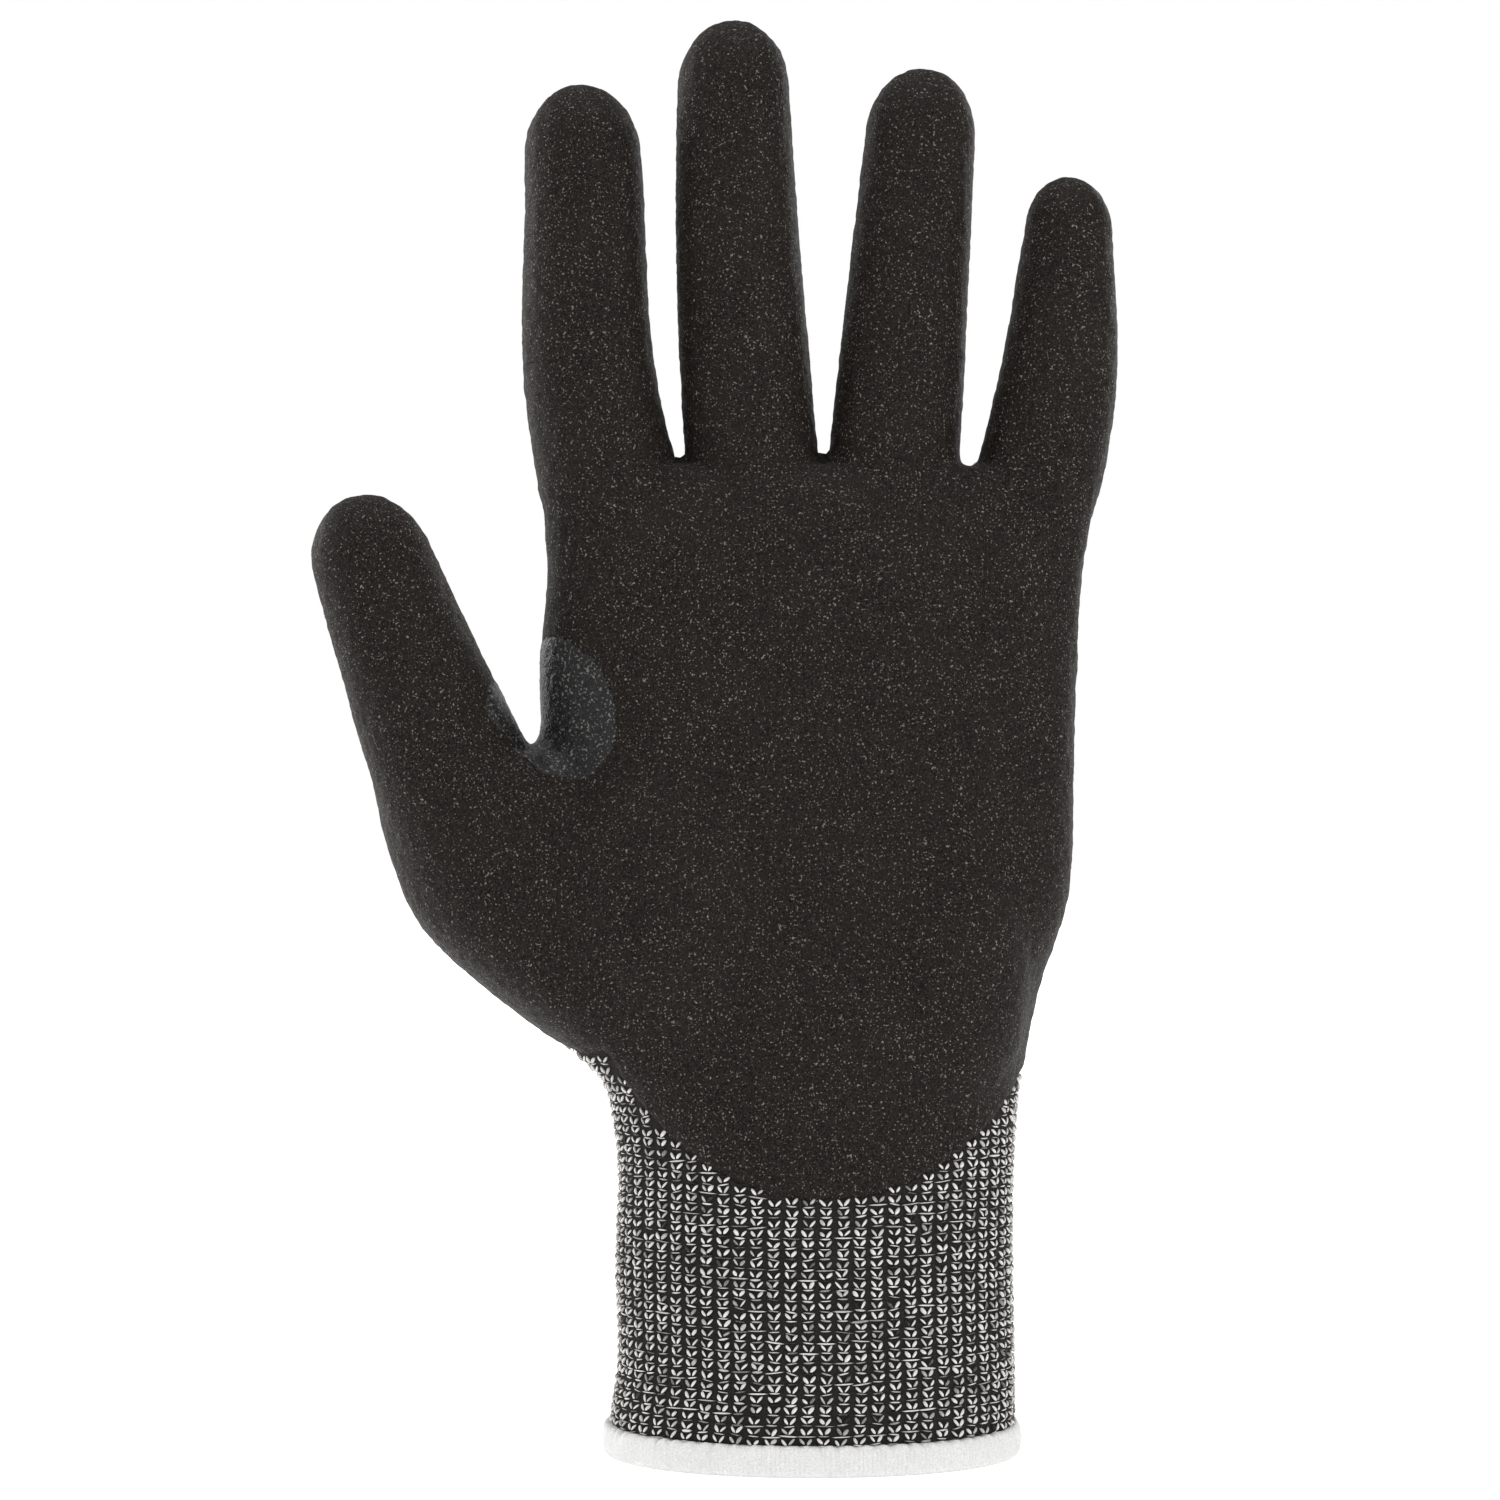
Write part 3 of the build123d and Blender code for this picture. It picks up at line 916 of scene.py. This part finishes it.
def add_rib(wraps):
    """The rib round the cuff, as far up as the coating in front and the plain knit behind."""
    for name, side in (("front", -1), ("back", 1)):
        wrap = wraps[name]
        columns = np.arange(-RIB_REACH, RIB_REACH) + 0.5
        column, height = grid_of(columns, np.arange(RIB_BOTTOM, RIB_TOP, RIB_COURSE))
        half_round = np.interp(np.minimum(height, RIB_EVEN_TOP), wrap.heights, wrap.half_round())
        pitch = half_round * 2 / RIB_COLUMNS
        around = column * pitch + jitter(len(column), PLACE_SPREAD)
        wave = RIB_WAVE * np.sin(around / RIB_WAVE_LENGTH + side)
        height = height + wave + jitter(len(column), PLACE_SPREAD)
        points, _ = wrap.at(around, height)
        keep = (inside_coating(points) < RIB_TUCK) & wrap.holds(around, height)
        keep &= points[:, 1] * side >= -RIB_SIDE_OVERLAP
        if name == "back":
            keep &= height < RIB_TOP_BEHIND
        points, faces, tones = rib_stitches(wrap, around[keep], height[keep], pitch[keep])
        add_piece(f"rib_stitches_{name}", points, faces, MATERIALS["yarn"], "wrist", tones=tones)


def add_back(wraps):
    """Plain knit on the back of the hand."""
    wrap = wraps["back"]
    wales = np.arange(-JERSEY_REACH, JERSEY_REACH + 1)
    column, height = grid_of(wales, np.arange(BACK_START, BACK_TOP, JERSEY_COURSE))
    around = column * JERSEY_WALE
    points, _ = wrap.at(around, height)
    keep = (inside_coating(points) < JERSEY_TUCK) & wrap.holds(around, height) & (points[:, 1] > 0)
    keep &= owners(points) < 0
    for name, part in (("lower", height < JERSEY_SPLIT), ("upper", height >= JERSEY_SPLIT)):
        chosen = keep & part
        points, faces, tones = jersey_stitches(wrap, around[chosen], height[chosen])
        add_piece(f"back_stitches_{name}", points, faces, MATERIALS["jersey"], "palm", tones=tones)


def add_digit_backs(tree):
    """Plain knit on the back of each digit."""
    for digit in DIGITS:
        first = CUTS[digit.kind][0] * digit.length
        top = digit.length - TIP_CAP + 1

        def point_at(height, digit=digit):
            return digit.point(float(digit.middle(height)), 0, height)

        heights = np.arange(first - BACK_OVERLAP, top + 2, CHART_SPACING)
        wrap = Wrap(tree, point_at, digit.back, digit.across, heights, DIGIT_CHART_REACH)
        wales = np.arange(-DIGIT_JERSEY_REACH, DIGIT_JERSEY_REACH + 1)
        column, height = grid_of(wales, np.arange(first - BACK_OVERLAP, top, JERSEY_COURSE))
        around = column * JERSEY_WALE * DIGIT_NARROWING
        points, _ = wrap.at(around, height)
        number = DIGITS.index(digit)
        across, _, along = digit.local(points)
        below = (along < first) & (np.abs(across - digit.middle(along)) < digit.root_half)
        keep = (inside_coating(points) < JERSEY_TUCK) & wrap.holds(around, height)
        keep &= (owners(points) == number) | below
        bodies = np.where(below, digit.bodies[1], body_of(points))
        for body in digit.bodies[1:]:
            chosen = keep & (bodies == body)
            points, faces, tones = jersey_stitches(wrap, around[chosen], height[chosen])
            add_piece(f"stitches_{body}", points, faces, MATERIALS["jersey"], body, tones=tones)


# ---- hem ----

HEM_THREADS = 300
HEM_STEPS = 5  # points round each thread
HEM_RIDGE = 0.12  # how far each thread stands out
HEM_TOOTH = 0.5  # how far the points on top stand up
THREADS_A_TOOTH = 4
TEETH_BAND = (3.0, 5.0)  # the heights over which the points grow
INNER_SIDE = -1  # further in than this the hem's top is plain
# round the hem's section: out from the cuff's side, and up
HEM_PROFILE = [
    (-1.2, 5.4), (0.02, 5.0), (0.42, 4.4), (0.62, 3.2), (0.66, 2.0), (0.55, 0.9), (0.1, 0.25),
    (-0.6, 0.0), (-1.3, 0.25), (-1.8, 0.9), (-2.0, 2.2), (-2.0, 3.8), (-1.7, 4.8),
]


def add_hem():
    """The overlock hem: thread bound over the cuff's mouth from outside to inside, with pointed ends."""
    turns = np.arange(HEM_THREADS * HEM_STEPS) / (HEM_THREADS * HEM_STEPS)
    thread = np.floor(turns * HEM_THREADS).astype(int)
    phase = (turns * HEM_THREADS) % 1
    ridge = 1 - (2 * phase - 1) ** 2
    uneven = random.normal(0, 1, HEM_THREADS)[thread]
    tooth = np.abs((turns * HEM_THREADS / THREADS_A_TOOTH) % 1 * 2 - 1)
    count = len(turns)
    mouth, above = HAND_STATIONS[:2]
    across, deep = oval(0, 1, 1, 1, mouth[5], count)
    rings = []
    for out, height in HEM_PROFILE:
        share = min(height / above[0], 1)
        reach = out + HEM_RIDGE * ridge * (0.8 + 0.2 * uneven)
        x = mouth[1] + across * (mouth[2] + (above[2] - mouth[2]) * share + reach)
        y = deep * (mouth[3] + (above[3] - mouth[3]) * share + reach)
        points_up = smoothstep(height, *TEETH_BAND) * (HEM_TOOTH * tooth + 0.1 * uneven)
        z = height + points_up * (out > INNER_SIDE)
        rings.append(np.column_stack([x, y, z]))
    step = np.arange(count)
    following = (step + 1) % count
    faces = []
    for ring in range(len(rings)):
        low, high = ring * count, (ring + 1) % len(rings) * count
        faces += np.stack([low + step, high + step, high + following, low + following], axis=1).tolist()
    piece = add_piece("overlock_hem", np.concatenate(rings), faces, MATERIALS["hem"], "cuff")
    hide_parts("hem_overlock")


# ---- the glove ----

# unevenness in layers, each with its height, size and seed
EDGE_RAGGED = [(0.45, 1.4, 0.0), (0.2, 5.0, 0.0)]
COATING_UNEVEN = [(0.15, 1.3, 3.0), (0.12, 3.0, 7.0)]
PATCH_RAGGED = [(0.5, 2.2, 2.0)]
PATCH_CRINKLE = [(0.10, 0.8, 5.0), (0.09, 1.6, 9.0)]
PATCH_SINK = 0.1
PATCH_TAPER = 1.2
PATCH_CLEAR = 0.5  # how far the patch keeps from the coating's edge
GROUND_BOTTOM = 2.0
COATING_GAP = 0.05  # how far under the ground the coating's edge is tucked


def unevenness(points, layers):
    return sum(height * noise_at(points, size, seed) for height, size, seed in layers)


def in_outline(x, z, outline):
    """Whether each place is inside the outline, seen from the palm side."""
    inside = np.zeros(len(x), bool)
    for (x0, z0), (x1, z1) in zip(outline, outline[1:] + outline[:1]):
        crosses = (z0 > z) != (z1 > z)
        inside ^= crosses & (x < (x1 - x0) * (z - z0) / (z1 - z0) + x0)
    return inside


def outline_distance(x, z, outline):
    """How far each place is from the outline's nearest edge."""
    nearest = np.full(len(x), 1e9)
    for (x0, z0), (x1, z1) in zip(outline, outline[1:] + outline[:1]):
        wx, wz = x1 - x0, z1 - z0
        share = np.clip(((x - x0) * wx + (z - z0) * wz) / (wx * wx + wz * wz), 0, 1)
        nearest = np.minimum(nearest, np.hypot(x - x0 - share * wx, z - z0 - share * wz))
    return nearest


def rounded_outline(outline, rounds=3):
    """The outline with its corners cut, again and again."""
    for _ in range(rounds):
        pairs = list(zip(outline, outline[1:] + outline[:1]))
        outline = [
            (a[0] + (b[0] - a[0]) * share, a[1] + (b[1] - a[1]) * share)
            for a, b in pairs for share in (0.25, 0.75)
        ]
    return outline


def add_ground(forms):
    """The liner's ground, parted at the creases. Returns the skin it was taken from."""
    mesh = skin("ground_skin", forms, GROUND_VOXEL, GROUND_SMOOTHING)
    tree = BVHTree.FromPolygons([v.co for v in mesh.vertices], [p.vertices for p in mesh.polygons])
    cut_at_creases(mesh)
    points, normals, faces = arrays(mesh)
    centres = centres_of(points, faces)
    bodies = body_of(centres)
    ground = points - normals * GROUND_DROP
    for body in sorted(set(bodies)):
        mine = (bodies == body) & (centres[:, 2] > GROUND_BOTTOM)
        chosen = [faces[index] for index in np.flatnonzero(mine)]
        where = "wrist" if body == "palm" else body
        name = f"knit_{body}"
        piece = add_piece(name, ground, chosen, MATERIALS["ground"], where, wall=GROUND_WALL)
        if body == "palm":
            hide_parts("liner_palm", "liner_back", "cuff_rib")
        else:
            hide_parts(f"liner_{body}")
    return tree


def add_coating(forms):
    """The palm coating and the glossy patch on it, parted at the creases."""
    mesh = skin("coating_skin", forms, COATING_VOXEL, COATING_SMOOTHING)
    cut_at_creases(mesh)
    points, normals, faces = arrays(mesh)
    bodies = body_of(centres_of(points, faces))
    inside = inside_coating(points) + unevenness(points, EDGE_RAGGED)
    drop = (GROUND_DROP + COATING_GAP) * (1 - smoothstep(inside, 0, EDGE_TAPER))
    film = points + normals * (unevenness(points, COATING_UNEVEN) - drop)[:, None]
    coated = np.array([inside[list(face)].min() > 0 for face in faces])
    for body in sorted(set(bodies)):
        chosen = [faces[index] for index in np.flatnonzero((bodies == body) & coated)]
        where = "wrist" if body == "palm" else body
        name = f"grip_{body}"
        piece = add_piece(name, film, chosen, MATERIALS["coating"], where, wall=FILM_WALL)
        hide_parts(f"coating_{body}")

    x, y, z = points.T
    outline = rounded_outline(PATCH_OUTLINE)
    depth = outline_distance(x, z, outline) + unevenness(points, PATCH_RAGGED)
    depth = np.where(in_outline(x, z, outline), depth, -depth)
    crinkle = unevenness(points, PATCH_CRINKLE)
    rise = PATCH_PROUD * smoothstep(depth, 0, PATCH_TAPER) + crinkle - PATCH_SINK
    glossy = points + normals * rise[:, None]
    clear = np.minimum(depth, inside - PATCH_CLEAR)
    patched = np.array([clear[list(face)].min() > 0 for face in faces])
    for body, name in (("palm", "crotch_patch_palm"), ("thumb_proximal", "crotch_patch_thumb")):
        chosen = [faces[index] for index in np.flatnonzero((bodies == body) & patched)]
        piece = add_piece(name, glossy, chosen, MATERIALS["patch"], body, wall=FILM_WALL)
        if body == "palm":
            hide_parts("thumb_crotch_patch")


# ---- the stage ----

AIM = (0, 0, 0.13)
WORLD_SEEN, WORLD_LIGHT = 1.0, 0.55  # the backdrop as the camera sees it, and as it lights the glove
FLOOR_HALF = 3000
FLOOR_GLOW = 0.62
CAMERA_PLACE = (-0.0107, -0.612, 0.1227)
CAMERA_LENS = 84
CAMERA_SENSOR = 36
# studio lights: name, place in metres, size in metres, watts
LIGHTS = [
    ("left_softbox", (-1.3, 0.1, 0.4), (0.9, 1.0), 9.0),
    ("right_softbox", (1.2, -0.8, 0.5), (0.7, 1.0), 7.0),
    ("front_softbox", (0.1, -1.5, 1.1), (1.2, 0.6), 6.0),
    ("top_softbox", (0.0, -0.1, 1.4), (1.0, 0.6), 9.0),
    ("left_rear_softbox", (-1.1, 0.8, 0.6), (0.7, 0.9), 9.0),
    ("right_rear_softbox", (0.9, 1.1, 0.6), (0.6, 0.9), 7.0),
]


def add_stage():
    """A plain pale floor, soft light from all round, and the camera in front of the palm."""
    scene = bpy.context.scene
    scene.view_settings.view_transform = "Standard"
    world = bpy.data.worlds.new("studio")
    scene.world = world
    world.use_nodes = True
    nodes, links = world.node_tree.nodes, world.node_tree.links
    nodes["Background"].inputs["Color"].default_value = (1, 1, 1, 1)
    seen = nodes.new("ShaderNodeLightPath").outputs["Is Camera Ray"]
    strength = nodes.new("ShaderNodeMapRange")
    strength.inputs["To Min"].default_value = WORLD_LIGHT
    strength.inputs["To Max"].default_value = WORLD_SEEN
    links.new(seen, strength.inputs["Value"])
    links.new(strength.outputs["Result"], nodes["Background"].inputs["Strength"])

    for name, place, size, power in LIGHTS:
        data = bpy.data.lights.new(name, "AREA")
        data.shape = "RECTANGLE"
        data.size, data.size_y = size
        data.energy = power
        light = bpy.data.objects.new(name, data)
        light.location = place
        aim = Vector(AIM) - light.location
        light.rotation_euler = aim.to_track_quat("-Z", "Y").to_euler()
        scene.collection.objects.link(light)

    corners = [(-1, -1, 0), (1, -1, 0), (1, 1, 0), (-1, 1, 0)]
    floor_points = np.array(corners) * FLOOR_HALF
    floor = new_object("floor", mesh_of("floor", floor_points, [[0, 1, 2, 3]]))
    shading = Shading("pale_floor", Roughness=0.9, Specular_IOR_Level=0.0)
    shading.surface.inputs["Base Color"].default_value = (0.9, 0.9, 0.9, 1)
    shading.surface.inputs["Emission Color"].default_value = (1, 1, 1, 1)
    shading.surface.inputs["Emission Strength"].default_value = FLOOR_GLOW
    floor.data.materials.append(shading.material)

    data = bpy.data.cameras.new("camera")
    data.lens = CAMERA_LENS
    data.sensor_width = CAMERA_SENSOR
    camera = bpy.data.objects.new("camera", data)
    camera.location = CAMERA_PLACE
    camera.rotation_euler = (math.radians(90), 0, 0)
    scene.collection.objects.link(camera)
    scene.camera = camera


MATERIALS = {
    "coating": coating_material(),
    "patch": patch_material(),
    "ground": ground_material(),
    "yarn": yarn_material("rib_yarn", RIB_DARK, RIB_PALE),
    "jersey": yarn_material("jersey_yarn", BACK_DARK, BACK_PALE),
    "hem": hem_material(),
    "elastic": elastic_material(),
}

forms = glove_forms()
tree = add_ground(forms)
add_coating(forms)
sides = {"front": np.array([0, -1, 0]), "back": np.array([0, 1, 0])}
hand_levels = np.arange(*HAND_CHART, CHART_SPACING)
wraps = {
    name: Wrap(tree, hand_centre, outward, np.array([1, 0, 0]), hand_levels, HAND_CHART_REACH)
    for name, outward in sides.items()
}
add_rib(wraps)
add_back(wraps)
add_digit_backs(tree)
add_hem()
for slot in frame["nodes"]["cuff_elastic"].material_slots:
    slot.material = MATERIALS["elastic"]
add_stage()
